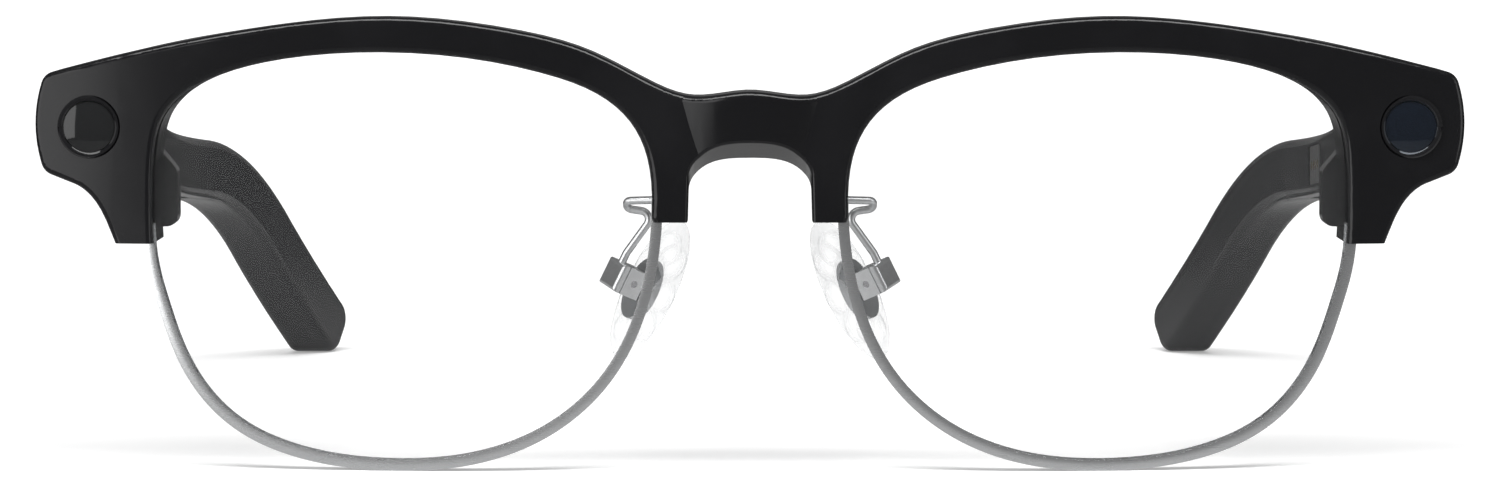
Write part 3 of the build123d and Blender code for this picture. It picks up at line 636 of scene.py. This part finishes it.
def pad_joint(side):
    """The rocking joint of one nose pad."""
    found = [joint for joint in frame["joints"] if joint["child"] == f"nose_pad_{side}"]
    if not found:
        raise RuntimeError(f"the frame has no joint for the {side} nose pad")
    return found[0]


def pad_axes(lean):
    """The right pad's own frame: X its rocking axis, Z up its length, Y towards the nose."""
    joint = pad_joint("right")
    across = Vector(joint["axis"]).normalized()
    up = Vector((-math.sin(lean), 0, math.cos(lean)))
    towards = up.cross(across).normalized()
    turned = Matrix((across, towards, up)).transposed().to_4x4()
    return Matrix.Translation(Vector(joint["pos_m"])) @ turned


def pad_web(values):
    """The oval skin of a pad: a cube drawn out to its size and rounded."""
    start_piece()
    bpy.ops.mesh.primitive_cube_add(size=2.0, location=(0, 0, 0))
    web = bpy.context.object
    bpy.ops.object.mode_set(mode="EDIT")
    bpy.ops.mesh.subdivide(number_cuts=5)
    bpy.ops.transform.tosphere(value=1.0)
    bpy.ops.transform.resize(value=(values.half_width * 0.94, values.web_half, values.half_length * 0.95),
                             center_override=(0, 0, 0))
    bpy.ops.transform.translate(value=(0, values.depth, 0))
    bpy.ops.object.mode_set(mode="OBJECT")
    return web


def pad_cell(values, x, z):
    """One air cell, a flattened ball that stands proud of the skin on both faces."""
    bpy.ops.object.select_all(action="DESELECT")
    bpy.ops.mesh.primitive_ico_sphere_add(
        subdivisions=3, radius=values.cell_radius, location=(x, values.depth, z))
    cell = bpy.context.object
    bpy.ops.object.mode_set(mode="EDIT")
    bpy.ops.transform.resize(value=(1.0, CELL_FLAT, CELL_LONG), center_override=(x, values.depth, z))
    bpy.ops.object.mode_set(mode="OBJECT")
    return cell


def pad_mesh(values):
    """A pad in its own frame: skin and cells grown into one smooth soft form."""
    web = pad_web(values)
    reach_x = values.half_width - values.cell_radius
    reach_z = values.half_length - values.cell_radius * CELL_LONG
    cells = []
    for index in range(values.cells):
        angle = math.tau * (index + 0.5) / values.cells
        x, z = reach_x * math.cos(angle), reach_z * math.sin(angle)
        cells.append(pad_cell(values, x, z))
    for piece in [web, *cells]:
        piece.select_set(True)
    bpy.context.view_layer.objects.active = web
    bpy.ops.object.join()
    remesh = web.modifiers.new("Grow Together", "REMESH")
    remesh.mode = "VOXEL"
    remesh.voxel_size = PAD_VOXEL
    smooth = web.modifiers.new("Soft Corners", "SMOOTH")
    smooth.factor = 0.5
    smooth.iterations = PAD_SMOOTHING
    apply_modifiers(web)
    return web


class GLASSES_OT_nose_pads(bpy.types.Operator):
    """Model the soft nose pads with their air cells, and finish their cores."""
    bl_idname = "glasses.nose_pads"
    bl_label = "Make Nose Pads"

    def execute(self, context):
        values = context.scene.glasses_pads
        silicone = clear_material(
            "Clear Pad Silicone", (0.93, 0.94, 0.95), 0.12, 0.62, roughness=0.2, **{"IOR": 1.3})
        core = plastic_material("Grey Pad Core", (0.2, 0.205, 0.21), 0.4, skin=1500.0, depth=0.006 * MM)
        finish_nodes(core, both("pad_insert"))
        right = pad_mesh(values)
        place_mesh(right, pad_axes(values.lean))
        left = right.copy()
        left.data = right.data.copy()
        context.scene.collection.objects.link(left)
        left.data.transform(Matrix.Scale(-1, 4, (1, 0, 0)))
        for side, pad in (("right", right), ("left", left)):
            pad.name = f"air_cell_pad_{side}"
            start_piece()
            pad.select_set(True)
            context.view_layer.objects.active = pad
            bpy.ops.object.mode_set(mode="EDIT")
            bpy.ops.mesh.select_all(action="SELECT")
            bpy.ops.mesh.remove_doubles(threshold=MERGE_PAD)
            bpy.ops.mesh.normals_make_consistent(inside=False)
            bpy.ops.object.mode_set(mode="OBJECT")
            bpy.ops.object.shade_smooth()
            pad.data.materials.clear()
            pad.data.materials.append(silicone)
            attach(pad, f"nose_pad_{side}")
            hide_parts(f"nose_pad_{side}")
        return {"FINISHED"}


# ---- stage --------------------------------------------------------------
def softbox(name, place, target, width, height, power):
    """A rectangular area light that faces a point."""
    bpy.ops.object.light_add(type="AREA", location=place)
    lamp = bpy.context.object
    lamp.name = name
    lamp.data.shape = "RECTANGLE"
    lamp.data.size = width
    lamp.data.size_y = height
    lamp.data.energy = power
    lamp.rotation_euler = (Vector(target) - Vector(place)).to_track_quat("-Z", "Y").to_euler()
    return lamp


def floor_material(colour, glow):
    """Pale translucent studio floor that glossy pieces mirror more dimly further off."""
    material, tree, shader, place = new_material("Pale Studio Floor")
    reach = tree.nodes.new("ShaderNodeVectorMath")
    reach.operation = "LENGTH"
    link(tree, place, reach.inputs[0])
    distance = reach.outputs["Value"]
    path = tree.nodes.new("ShaderNodeLightPath")
    mirrored = span_node(tree, distance, MIRROR_NEAR, MIRROR_FAR)
    dim = colour_mix(tree, mirrored, (NEAR_MIRROR,) * 3, (FAR_MIRROR,) * 3)
    full = (1.0, 1.0, 1.0)
    share = colour_mix(tree, path.outputs["Is Glossy Ray"], full, dim)
    mottle = span_node(tree, noise_node(tree, place, 6.0, 2.0), 0.3, 0.7)
    pale = colour_mix(tree, mottle, colour, tuple(c * 0.995 for c in colour))
    rise = math_node(tree, "MULTIPLY", span_node(tree, distance, GLOW_NEAR, GLOW_FAR), GLOW_RISE)
    glowing = math_node(tree, "ADD", rise, glow)
    for light, socket in ((pale, "Base Color"), (glowing, "Emission Color")):
        product = tree.nodes.new("ShaderNodeMix")
        product.data_type = "RGBA"
        product.blend_type = "MULTIPLY"
        product.inputs["Factor"].default_value = 1.0
        link(tree, light, product.inputs[6])
        link(tree, share, product.inputs[7])
        link(tree, product.outputs[2], shader.inputs[socket])
    set_sockets(shader, {"Roughness": 0.9, "Specular IOR Level": 0.0, "Emission Strength": 1.0})
    return material


def pale_world(room):
    """A dim room for reflections, that is seen itself as a pale backdrop."""
    world = bpy.data.worlds.new("Pale Studio World")
    bpy.context.scene.world = world
    world.use_nodes = True
    tree = world.node_tree
    path = tree.nodes.new("ShaderNodeLightPath")
    seen = math_node(tree, "MAXIMUM", path.outputs["Is Camera Ray"], path.outputs["Is Transmission Ray"])
    colour = colour_mix(tree, seen, (room, room, room), (1.0, 1.0, 1.0))
    link(tree, colour, tree.nodes["Background"].inputs["Color"])


class GLASSES_OT_stage(bpy.types.Operator):
    """Set up the floor, the softboxes and the camera."""
    bl_idname = "glasses.stage"
    bl_label = "Set Up Stage"

    def execute(self, context):
        values = context.scene.glasses_stage
        front = CAD_BOX[0].y
        start_piece()
        bpy.ops.mesh.primitive_plane_add(size=2.0, location=(0, 0, 0))
        floor = context.object
        floor.name = "studio_floor"
        bpy.ops.object.mode_set(mode="EDIT")
        bpy.ops.transform.resize(value=(*FLOOR_HALF, 1.0), center_override=(0, 0, 0))
        bpy.ops.transform.translate(value=(0, front - FLOOR_LEAD + FLOOR_HALF[1], FLOOR_Z))
        bpy.ops.object.mode_set(mode="OBJECT")
        floor.data.materials.append(floor_material(tuple(values.floor_colour), values.floor_glow))
        target = (0, 0, 0.02)
        softbox("top_softbox", (0, -0.5, 0.95), target, 1.3, 0.45, values.top_power)
        softbox("left_softbox", (-0.84, -0.71, 0.13), target, 1.0, 0.8, values.left_power)
        softbox("right_softbox", (0.95, -0.55, 0.13), target, 0.42, 0.8, values.right_power)
        pale_world(ROOM_LIGHT)
        eye = Vector((0, front - values.camera_distance + APEX_SETBACK, values.camera_height))
        aim = Vector((0, front + APEX_SETBACK, values.aim_height))
        bpy.ops.object.camera_add(location=eye)
        camera = context.object
        camera.name = "studio_camera"
        camera.rotation_euler = (aim - eye).to_track_quat("-Z", "Y").to_euler()
        camera.data.lens = values.focal_length
        camera.data.clip_start = 0.01
        context.scene.camera = camera
        context.scene.view_settings.view_transform = "Standard"
        return {"FINISHED"}


PIECE_OPERATORS = (
    GLASSES_OT_front,
    GLASSES_OT_temples,
    GLASSES_OT_rims,
    GLASSES_OT_lenses,
    GLASSES_OT_camera_module,
    GLASSES_OT_light_module,
    GLASSES_OT_hardware,
    GLASSES_OT_electronics,
    GLASSES_OT_nose_pads,
    GLASSES_OT_stage,
)


class GLASSES_PT_parts(bpy.types.Panel):
    """Buttons for the parts of the glasses, in the order they are made."""
    bl_idname = "GLASSES_PT_parts"
    bl_label = "Smart Glasses"
    bl_space_type = "VIEW_3D"
    bl_region_type = "UI"
    bl_category = "Glasses"

    def draw(self, context):
        for operator in PIECE_OPERATORS:
            self.layout.operator(operator.bl_idname)
        for attribute, _ in SETTINGS:
            settings = getattr(context.scene, attribute)
            box = self.layout.box()
            for name in settings.__annotations__:
                box.prop(settings, name)


SETTINGS = (
    ("glasses_finish", FinishSettings),
    ("glasses_pads", PadSettings),
    ("glasses_stage", StageSettings),
)


def register():
    """Registers the settings, operators and panel."""
    for name, settings in SETTINGS:
        bpy.utils.register_class(settings)
        setattr(bpy.types.Scene, name, PointerProperty(type=settings))
    for operator in PIECE_OPERATORS:
        bpy.utils.register_class(operator)
    bpy.utils.register_class(GLASSES_PT_parts)


def unregister():
    """Takes the panel, operators and settings away again."""
    bpy.utils.unregister_class(GLASSES_PT_parts)
    for operator in reversed(PIECE_OPERATORS):
        bpy.utils.unregister_class(operator)
    for name, settings in reversed(SETTINGS):
        delattr(bpy.types.Scene, name)
        bpy.utils.unregister_class(settings)


def main():
    """Makes every piece in order."""
    register()
    bpy.ops.glasses.front()
    bpy.ops.glasses.temples()
    bpy.ops.glasses.rims()
    bpy.ops.glasses.lenses()
    bpy.ops.glasses.camera_module()
    bpy.ops.glasses.light_module()
    bpy.ops.glasses.hardware()
    bpy.ops.glasses.electronics()
    bpy.ops.glasses.nose_pads()
    bpy.ops.glasses.stage()


if __name__ == "__main__":
    main()
